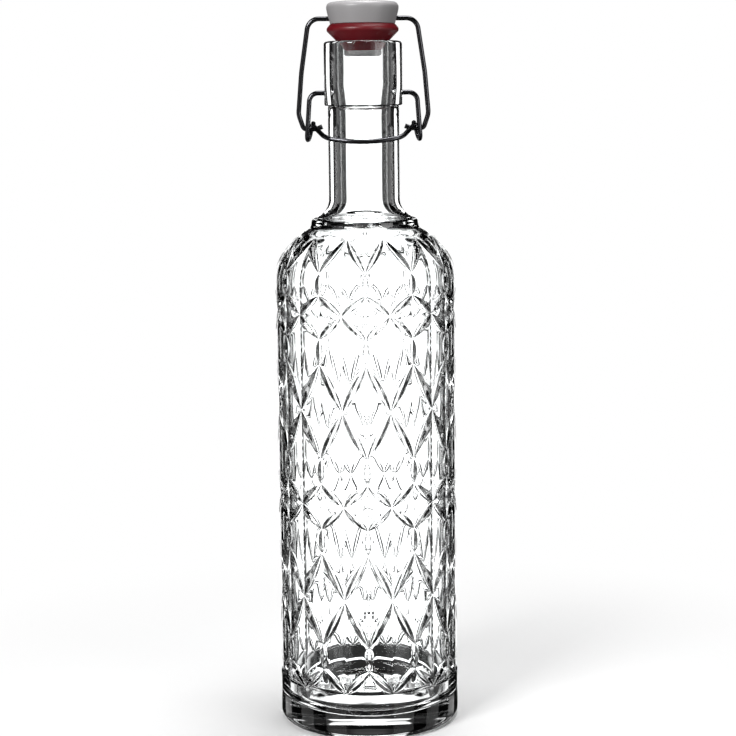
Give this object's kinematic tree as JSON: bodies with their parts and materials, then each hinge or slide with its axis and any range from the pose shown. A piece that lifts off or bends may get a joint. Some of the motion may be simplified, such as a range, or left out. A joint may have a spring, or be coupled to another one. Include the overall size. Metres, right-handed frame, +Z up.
{
  "type": "swing top bottle",
  "caption": "Tall cut-pattern glass bottle whose mouth is shut by a gasketed plug on a wire bail and thumb lever.",
  "frame": {"origin": "centre of the base, on the surface the bottle stands on", "axes": "+Z up along the bottle's axis; the lever's thumb arc is at the front, towards -Y; the lever turns about the X axis"},
  "size_m": [0.084, 0.084, 0.3351],
  "materials": {
    "glass": "clear pressed glass",
    "head_plastic": "satin grey moulded plastic",
    "gasket_rubber": "dark red moulded rubber",
    "spring_wire": "polished dark spring steel wire"
  },
  "bodies": {
    "bottle": {"glass_bottle": "glass"},
    "lever": {"lever_wire": "spring_wire"},
    "bail": {"bail_wire": "spring_wire"},
    "stopper": {"stopper_head": "head_plastic", "gasket": "gasket_rubber"}
  },
  "joints": [
    {"name": "lever_hinge", "type": "hinge", "parent": "bottle", "child": "lever", "pos_m": [0, 0, 0.2938], "axis": [-1, 0, 0], "range_deg": [0, 95]},
    {"name": "bail_hinge", "type": "hinge", "parent": "lever", "child": "bail", "pos_m": [0, 0.0015, 0.2775], "axis": [-1, 0, 0], "range_deg": [-64.7, 0]},
    {"name": "stopper_hinge", "type": "hinge", "parent": "bail", "child": "stopper", "pos_m": [0, 0, 0.3272], "axis": [-1, 0, 0], "range_deg": [-25.8, 0]}
  ],
  "couplings": [
    {"joint": "bail_hinge", "follows": "lever_hinge", "ratio": -0.68},
    {"joint": "stopper_hinge", "follows": "lever_hinge", "ratio": -0.27}
  ]
}
